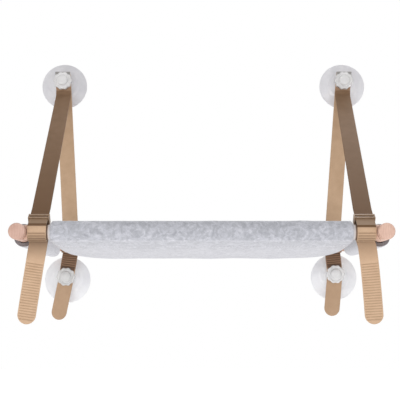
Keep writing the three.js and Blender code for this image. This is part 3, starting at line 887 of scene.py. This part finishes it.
def bar_stop(ladder):
    """The stop at a buckle's bar, which the strap goes round the other way."""
    return {"y": ladder["bar"][0], "z": ladder["bar"][1], "radius": wrap_radius, "turn": -1}


top_bend = {"y": front_layer - top_bend_radius, "z": leg_top, "radius": top_bend_radius, "turn": -1}
rear_leg_top = at_point(rear_layer, leg_top)
front_frame = strap_frame(rod_rows["front"], tangent(top_bend, rod_stop(rod_rows["front"])))
rear_frame = strap_frame(rod_rows["rear"], tangent(rear_leg_top, rod_stop(rod_rows["rear"])))
hang_y = front_frame["bar"][0] + wrap_radius
hang_z = front_frame["bar"][1]


def upper_side(name, row):
    """The strap's middle above its rod: straight through the buckle, then out toward the upper cup."""
    slope = (upper_cup[name] - strap_x[row]) / (upper_level - loop_above)
    return lambda z: sides[name] * max(strap_x[row], strap_x[row] + (z - loop_above) * slope)


def places_along(route, spacing, ribs, round_end):
    """Even places along a route, closer at ribs and at a rounded end, and the route's length.

    Each place is (y, z, heading, run, whether it lies in a groove).
    """
    runs = [0]
    for before, after in zip(route, route[1:]):
        runs.append(runs[-1] + math.dist(before[:2], after[:2]))
    total = runs[-1]
    count = math.ceil(total / spacing)
    wanted = {round(total * step / count, 3): False for step in range(count + 1)}
    wanted.update({round(run, 3): False for run in runs})
    if round_end:
        for degrees in range(0, 90, 9):
            from_end = strap_width / 2 * (1 - math.sin(math.radians(degrees)))
            wanted[round(total - from_end, 3)] = False
        wanted[round(total - 0.04, 3)] = False
        wanted.pop(round(total, 3), None)
    for start, end in ribs:
        wanted = {run: deep for run, deep in wanted.items() if not start < run < end}
        for number in range(int((end - start) / rib_pitch)):
            for offset, deep in in_groove_at.items():
                wanted[round(start + number * rib_pitch + offset, 3)] = deep
    kept = []
    for run in sorted(wanted):
        if not kept or run - kept[-1] >= closest_rings:
            kept.append(run)
    places = []
    index = 0
    for run in kept:
        while index < len(runs) - 2 and runs[index + 1] <= run:
            index += 1
        step = runs[index + 1] - runs[index]
        share = 0 if step == 0 else min(1, (run - runs[index]) / step)
        y, z, heading = (a + (b - a) * share for a, b in zip(route[index], route[index + 1]))
        places.append((y, z, heading, run, wanted[run]))
    return places, total


def strap_section(half, ribbed_half, depth):
    """A strap's section, as (across, out), with rounded edges and its ribbed face cut to a depth."""
    edge = min(strap_rounding, 0.4 * half)
    columns = [half - edge, ribbed_half + 0.35, ribbed_half, ribbed_half / 2]
    columns = [-u for u in columns] + [0] + columns[::-1]
    ring = [(u, strap_half - (depth if abs(u) <= ribbed_half else 0)) for u in columns]
    corner = [
        (half - edge * (1 - math.sin(angle)), strap_half - edge * (1 - math.cos(angle)))
        for angle in (math.pi / 6, math.pi / 3, math.pi / 2)
    ]
    ring += corner + [(u, -h) for u, h in reversed(corner)]
    ring += [(half - edge, -strap_half), (0, -strap_half), (-half + edge, -strap_half)]
    return ring + [(-u, -h) for u, h in corner] + [(-u, h) for u, h in reversed(corner)]


def strap_piece(name, route, side_at, finishes, ribs=(), round_end=False, spacing=3):
    """A moulded strap along a route, with grooves between the ribs on its outer face.

    Below the bed, its section turns square to the way that it leans.
    """
    lean_starts, lean_full_over = -8, 30
    places, total = places_along(route, spacing, ribs, round_end)
    rings, deep = [], []
    for y, z, heading, run, groove in places:
        half = strap_width / 2
        if round_end and run > total - half:
            half *= math.sqrt(max(0.001, 1 - ((run - total + half) / half) ** 2))
        ribbed = half > 2 * rib_inset
        deep.append(groove and ribbed)
        section = strap_section(half, half - rib_inset if ribbed else half / 2, rib_groove * deep[-1])
        run_y, run_z = math.cos(heading), math.sin(heading)
        lean = (side_at(z + 1) - side_at(z - 1)) / 2
        slope = lean * run_z * clipped((lean_starts - z) / lean_full_over)
        middle = side_at(z)
        rings.append([
            (middle + u - u * slope**2, y + run_z * h - u * slope * run_y, z - run_y * h - u * slope * run_z)
            for u, h in section
        ])
    points, faces = skin(rings)
    strap = make_piece(name, points, faces, *finishes, crease=50)
    count = len(rings[0])
    # Groove faces take the second finish, a darker tone that paints shade in the grooves.
    for index in range(len(rings) - 1):
        if deep[index] or deep[index + 1]:
            for column in range(1, 7):
                strap.data.polygons[index * count + column].material_index = 1
    return strap


def strap_finish(name, light, dark, shadowed=None, gloss=0.3):
    """Moulded strap: a faint cloudy tone, fine pores and a satin face, with painted shade where its share
    says so.
    """
    finish, tree, shader, place = start_finish(name, 0.55, Specular_IOR_Level=gloss)
    patches = cloud(tree, place, 70, detail=4, roughness=0.55)
    pores = cloud(tree, stretched(tree, place, (1, 1, 0.35)), 1500, detail=3, roughness=0.7)
    colour = shades(tree, blend_colours(tree, 0.4, patches, pores), (0.35, dark), (0.65, light))
    if shadowed:
        shade_share = tree.nodes.new("ShaderNodeAttribute")
        shade_share.attribute_name = "shadowed"
        colour = blend_colours(tree, shade_share.outputs["Fac"], colour, shadowed)
    tree.links.new(colour, shader.inputs["Base Color"])
    relief(tree, shader, pores, 0.12, 0.6)
    return finish


def shade_by_height(strap, share_at):
    """Paints how far a strap is in shadow, from a share for each height."""
    paint_share(strap, "shadowed", [share_at(point.co.z / MM) for point in strap.data.vertices])


front_tan = strap_finish("tan_moulded_strap", tone(206, 174, 144), tone(193, 161, 131), tone(142, 116, 92))
# Painted shade: grooves between the ribs take darker tones of the strap.
groove_shade_tan = strap_finish("tan_rib_groove_shade", tone(186, 156, 127), tone(174, 143, 115))
# Painted shade: the upper legs, and loop faces near the buckle, use a dark brown copy of the tan strap for
# shade on faces that look up.
painted_shade_strap = strap_finish(
    "brown_upper_leg", tone(136, 109, 86), tone(126, 100, 77), tone(108, 81, 58), gloss=0.1,
)
rear_tan = strap_finish("tan_rear_strap", tone(203, 171, 140), tone(190, 158, 127), tone(136, 105, 81))
loop_groove_shade = strap_finish("tan_loop_groove_shade", tone(168, 137, 109), tone(154, 123, 96), tone(118, 92, 70))
rear_groove_shade = strap_finish("tan_rear_groove_shade", tone(150, 118, 92), tone(132, 102, 78), tone(92, 68, 52))
fold_shade_grey = strap_finish("strap_fold_painted_shade", tone(152, 150, 147), tone(144, 142, 139))

# Where painted shade lies, by height: loops take the dark brown copy at the buckle and in a thin line below
# it, and painted shadow with the free ends under the felt. The rear strap is painted dark under the bed and
# behind the upper knobs.
leg_shade_at_rod, leg_shade_fades_over = 1.15, 170
buckle_shadow_ends = 19
shade_line_width = 3
shade_edge_at = {"left": 8, "right": 6}
shade_edge_below, shade_edge_over = 1, 1.5
felt_shadow_strength = {"left": 1, "right": 0.62}
loop_shade_top, loop_shade_over = 2, 12
free_end_shade_ends, free_end_shade_over = 37, 24
front_layer_starts = -18.4
fold_shade_from_top = 9
bed_shade_above_knob, bed_shade_over = 8, 6
bed_shade_top, bed_shade_ends_over = 12, 4
rear_end_shade = 0.35
knob_shade, knob_shade_levels = 0.75, (250, 264)
shade_on_back = 0.3
for name, side in sides.items():
    loop_start = front_frame["at"](loop_above + 0.3, 0)
    top_y, top_z, heading = on_stop(top_bend, -math.pi / 2)
    route = strap_route([at_point(top_y, top_z + 0.3), top_bend, at_point(*loop_start)])
    leg = strap_piece(name + "_ribbed_front_leg", route, upper_side(name, "front"), (painted_shade_strap,), spacing=5)
    shade_by_height(leg, lambda z: clipped(leg_shade_at_rod - z / leg_shade_fades_over))
    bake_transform(leg)
    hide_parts(name + "_front_strap_leg")

    start = at_point(*front_frame["at"](loop_above, 0))
    stops = [start, rod_stop(rod_rows["front"]), bar_stop(front_frame), at_point(hang_y, hang_z - 2)]
    route = strap_route(stops)[:-1]
    loop = strap_piece(
        name + "_front_rod_loop", route, upper_side(name, "front"), (front_tan, loop_groove_shade, painted_shade_strap),
        ribs=[loop_ribs],
    )
    shade_edge, shade = shade_edge_at[name], felt_shadow_strength[name]
    # Painted shade: loop faces above the buckle's shadow, and in a thin line at the shade's edge, take the
    # dark brown copy.
    for face in loop.data.polygons:
        z = face.center.z / MM
        if z > buckle_shadow_ends or shade_edge < z < shade_edge + shade_line_width:
            face.material_index = 2

    def loop_shade(z):
        """Painted shade above a soft edge, and the felt's painted shadow toward the loop's lower end."""
        above_edge = clipped((z - shade_edge + shade_edge_below) / shade_edge_over)
        return max(above_edge, shade * clipped((loop_shade_top - z) / loop_shade_over))

    shade_by_height(loop, loop_shade)
    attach(loop, "bed_frame")
    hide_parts(name + "_front_strap_loop")

    lean, bow = {"left": (17.5, 0.93), "right": (12.9, 0.5)}[name]
    straight_share, leans_below = 0.116, 3
    tail_top, tail_end, tail_places = hang_z - 0.45, -121, 24
    drop = tail_end - tail_top
    route = [(hang_y, tail_top + drop * step / tail_places, -math.pi / 2) for step in range(tail_places + 1)]

    def tail_side(z):
        """The free end's middle: it leans outward in a bow, nearly straight for its first part."""
        share = max(0, (z + leans_below) / (tail_end + leans_below))
        return side * (strap_x["front"] + lean * min(share**bow, share / straight_share ** (1 - bow)))

    tail = strap_piece(
        name + "_front_strap_end", route, tail_side, (front_tan, groove_shade_tan),
        ribs=[tail_ribs], round_end=True,
    )
    shade_by_height(tail, lambda z: shade * clipped((z + free_end_shade_ends) / free_end_shade_over))
    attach(tail, name + "_strap_end")
    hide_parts(name + "_front_strap_tail")

    rear_end, rear_lean = {"left": (-120.5, -13), "right": (-114.3, -7.2)}[name]
    low, low_x = lower_level[name], lower_cup[name]
    route = strap_route([
        at_point(front_layer, leg_top + 0.6),
        {"y": rear_layer - fold_radius, "z": fold_top - fold_radius, "radius": fold_radius, "turn": -1},
        rear_leg_top,
        at_point(*rear_frame["at"](loop_above, 0)),
        rod_stop(rod_rows["rear"]),
        bar_stop(rear_frame),
        {"y": rod_rows["rear"], "z": 0, "radius": loop_radius + round_loop, "turn": -1},
        at_point(rear_layer, low + flat_behind_knob),
        at_point(rear_layer, low - flat_behind_knob),
        at_point(rear_layer - 3, rear_end),
    ])

    def rear_side(z):
        """The rear strap's middle: to the lower stud under the bed, then on past it."""
        if z > 0:
            return upper_side(name, "rear")(z)
        if z > low:
            return side * (low_x + (z - low) / -low * (strap_x["rear"] - low_x))
        return side * low_x + (z - low) / (rear_end - low) * rear_lean

    knob_run = run_length([place[:2] for place in route]) - (low - rear_end)
    strap = strap_piece(
        name + "_rear_carrying_strap", route, rear_side, (rear_tan, rear_groove_shade, fold_shade_grey),
        ribs=[(knob_run - rear_ribs_start, knob_run - rear_ribs_stop)], round_end=True,
    )
    knob_bottom, knob_top = knob_shade_levels
    studs = ((upper_cup[name], upper_level), (low_x, low))
    drills = [round_peg(stud_hole, *stud_drill, "y", (side * x, 0, z)) for x, z in studs]
    join_or_cut(strap, "DIFFERENCE", drills, crease=50)
    # Painted shade: the top of the fold's front layer, beside the knob, is painted grey.
    for face in strap.data.polygons:
        if face.center.z / MM > fold_top - fold_shade_from_top and face.center.y / MM < front_layer_starts:
            face.material_index = 2
    shares = []
    for vertex in strap.data.vertices:
        y, z = vertex.co.y / MM, vertex.co.z / MM
        under_bed = clipped((z - low - bed_shade_above_knob) / bed_shade_over)
        under_bed *= clipped((bed_shade_top - z) / bed_shade_ends_over)
        if vertex.normal.y > 0:
            under_bed *= shade_on_back
        below = rear_end_shade if z < low else 0
        behind_knob = knob_shade if y < front_layer_starts and knob_bottom < z < knob_top else 0
        shares.append(max(under_bed, below, behind_knob))
    paint_share(strap, "shadowed", shares)
    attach(strap, "window_mounts")
    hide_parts(name + "_rear_strap")


# Buckles: a moulded frame above each loop, two side plates with two bands over the strap and a bar under it.
# The strap's own tension locks it, so nothing on the buckle moves.
def buckle_finish():
    """Brown moulded plastic with faint patches."""
    finish, tree, shader, place = start_finish("brown_buckle_plastic", 0.42)
    tint(tree, shader, cloud(tree, place, 260, detail=3), tone(152, 124, 98), tone(134, 108, 84))
    relief(tree, shader, cloud(tree, place, 3000, detail=2), 0.03, 0.5)
    return finish


def rounded_outline(low, bottom, high, top, corner):
    """A rounded box outline as (along, above) points."""
    outline = []
    for x, y, first in ((high, bottom, -90), (high, top, 0), (low, top, 90), (low, bottom, 180)):
        centre_x = x - corner if x == high else x + corner
        centre_y = y - corner if y == top else y + corner
        for step in range(5):
            angle = math.radians(first + 90 * step / 4)
            outline.append((centre_x + corner * math.cos(angle), centre_y + corner * math.sin(angle)))
    return outline


def across_strap(outline, low_x, high_x, place):
    """An outline drawn along and above the strap, given a width across it."""
    rings = [[place(x, along, above) for along, above in outline] for x in (low_x, high_x)]
    return make_piece("part", *skin(rings))


buckle_plastic = buckle_finish()
# Painted highlight: the buckle's rounded edges take a lighter tan.
edge_highlight = mottled_finish(
    "buckle_edge_painted_highlight", 0.5, tone(200, 172, 142), tone(176, 148, 120), scale=700, depth=0.04,
)
plate_outline = rounded_outline(13.7, -10.5, 24, 2.8, 0.8)
plate_inside, plate_outside = 12.8, 14
band_starts, band_width = (14.2, 20.5), 3
band_bottom, band_top = 1.3, 2.5
band_reach = 13.4
bar_radius = 1.8
for row, ladder in (("front", front_frame), ("rear", rear_frame)):
    for name, side in sides.items():
        middle = side * strap_x[row]

        def place(x, along, above):
            """A place on the buckle, across, along and above the strap."""
            y, z = ladder["at"](along, -above)
            return (middle + x, y, z)

        plates = ((-plate_outside, -plate_inside), (plate_inside, plate_outside))
        parts = [across_strap(plate_outline, low, high, place) for low, high in plates]
        for low in band_starts:
            band = rounded_outline(low, band_bottom, low + band_width, band_top, 0.4)
            parts.append(across_strap(band, -band_reach, band_reach, place))
        bar_y, bar_z = ladder["bar"]
        parts.append(round_peg(bar_radius, -band_reach, band_reach, "x", (middle, bar_y, bar_z), around=24))
        buckle = parts[0]
        buckle.data.materials.append(buckle_plastic)
        buckle.data.materials.append(edge_highlight)
        join_or_cut(buckle, "UNION", parts[1:])
        soften = buckle.modifiers.new("soften", "BEVEL")
        soften.width = 0.3 * MM
        soften.segments = 2
        soften.limit_method = "ANGLE"
        soften.angle_limit = math.radians(40)
        # The bevel's faces take the painted highlight.
        soften.material = 1
        settle(buckle)
        buckle.name = f"{name}_{row}_ladder_buckle"
        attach(buckle, "bed_frame" if row == "front" else "window_mounts")
        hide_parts(f"{name}_{row}_buckle")


# Suction cups: clear soft vinyl, moulded with a thin lip, a stepped skirt and a boss round the stud's head.
# Pressed on the glass, the lip lies flat and the skirt stands a little hollow.
def clear_finish(name, light, dark, clearness, roughness):
    """Clear soft plastic with a milky body and faint flow marks."""
    finish, tree, shader, place = start_finish(name, roughness, IOR=1.45, Transmission_Weight=clearness)
    flow = cloud(tree, place, 55, detail=3, roughness=0.5, distortion=0.6)
    tint(tree, shader, flow, light, dark)
    relief(tree, shader, cloud(tree, place, 900, detail=2), 0.03, 0.4)
    return finish


cup_profile = [
    (0, -6.4), (6.3, -6.4), (6.3, -10.1), (3.3, -10.1), (3.3, -16), (9.4, -16), (10.3, -15.75),
    (10.85, -15.2), (11, -14.4), (11, -12.2), (11.6, -11.3), (12.8, -10.9), (16.2, -10.7), (17.6, -10.1),
    (18.4, -9.3), (21.4, -7.95), (21.8, -7.45), (26, -6.2), (26.4, -5.75), (30.4, -4.25), (32.4, -3.3),
    (34.4, -2.45), (36.3, -1.75), (37.2, -1.2), (37.5, -0.7), (37.5, 0), (33, 0), (25, -1.3), (17, -2.4),
    (0, -2.4),
]
upper_vinyl = {
    "upper_left": clear_finish("clear_left_cup_vinyl", tone(229, 228, 231), tone(219, 218, 222), 0.28, 0.3),
    "upper_right": clear_finish("clear_right_cup_vinyl", tone(237, 236, 239), tone(227, 226, 230), 0.28, 0.3),
}
lower_vinyl = clear_finish("clear_lower_cup_vinyl", tone(246, 246, 248), tone(238, 238, 241), 0.28, 0.3)
skirt_starts, skirt_width, mouth_drop = 17, 16, 4.5
cups = {}
for name, side in sides.items():
    cups["upper_" + name] = (side * upper_cup[name], upper_level)
    cups["lower_" + name] = (side * lower_cup[name], lower_level[name])
for name, (x, z) in cups.items():
    points, faces = turned(cup_profile, around=120)
    moved = []
    for px, py, pz in points:
        share = clipped((math.hypot(px, pz) - skirt_starts) / skirt_width)
        moved.append((x + px, py, z + pz - mouth_drop * share))
    vinyl = upper_vinyl.get(name, lower_vinyl)
    cup = make_piece(name + "_moulded_cup", moved, faces, vinyl, crease=28)
    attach(cup, "window_mounts")
    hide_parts(name + "_suction_cup")


# Knobs: clear fluted nuts that screw on to the studs and clamp the strap, with a domed boss in front.
# The flutes are rounded for the fingers, and a shallow ring lies round the boss.
flutes = 10
flute_depth = 1.3
rim_points = 160
knob_back = {"upper": -20.9, "lower": -18.6}


def fluted(radius, along, share):
    """A ring of points for a knob whose rim is pressed in at its flutes, by a share."""
    ring = []
    for angle in round_a_turn(rim_points):
        pressed = radius - flute_depth / 2 * (1 - math.cos(flutes * angle)) * share
        ring.append((pressed * math.cos(angle), along, pressed * math.sin(angle)))
    return ring


knob_levels = [
    (3.3, -9.3, 0), (3.3, 0, 0), (13.4, 0, 1), (14.5, -0.35, 1), (15, -1.2, 1), (15, -7.5, 1),
    (14.75, -8.3, 1), (14.2, -8.8, 1), (13.3, -9, 0.9), (11.9, -9, 0.4), (11.2, -8.7, 0), (10, -8.55, 0),
    (9.1, -8.8, 0), (8.5, -9.5, 0), (8.35, -12.3, 0), (7.9, -13, 0), (6.8, -13.5, 0), (4.6, -13.85, 0),
    (2.2, -13.97, 0),
]
knob_clear = clear_finish("clear_knob_plastic", tone(242, 241, 241), tone(232, 231, 231), 0.25, 0.22)
darker_knob_clear = clear_finish("darker_knob_plastic", tone(227, 226, 225), tone(216, 215, 214), 0.25, 0.22)
for name, (x, z) in cups.items():
    points, faces = skin([fluted(*level) for level in knob_levels])
    back = knob_back[name.split("_")[0]]
    moved = [(x + px, back + py, z + pz) for px, py, pz in points]
    # The lower left knob takes a darker tone of the same clear plastic.
    plastic = darker_knob_clear if name == "lower_left" else knob_clear
    knob = make_piece(name + "_fluted_knob", moved, faces, plastic, crease=50)
    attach(knob, name + "_knob_body")
    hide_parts(name + "_knob")
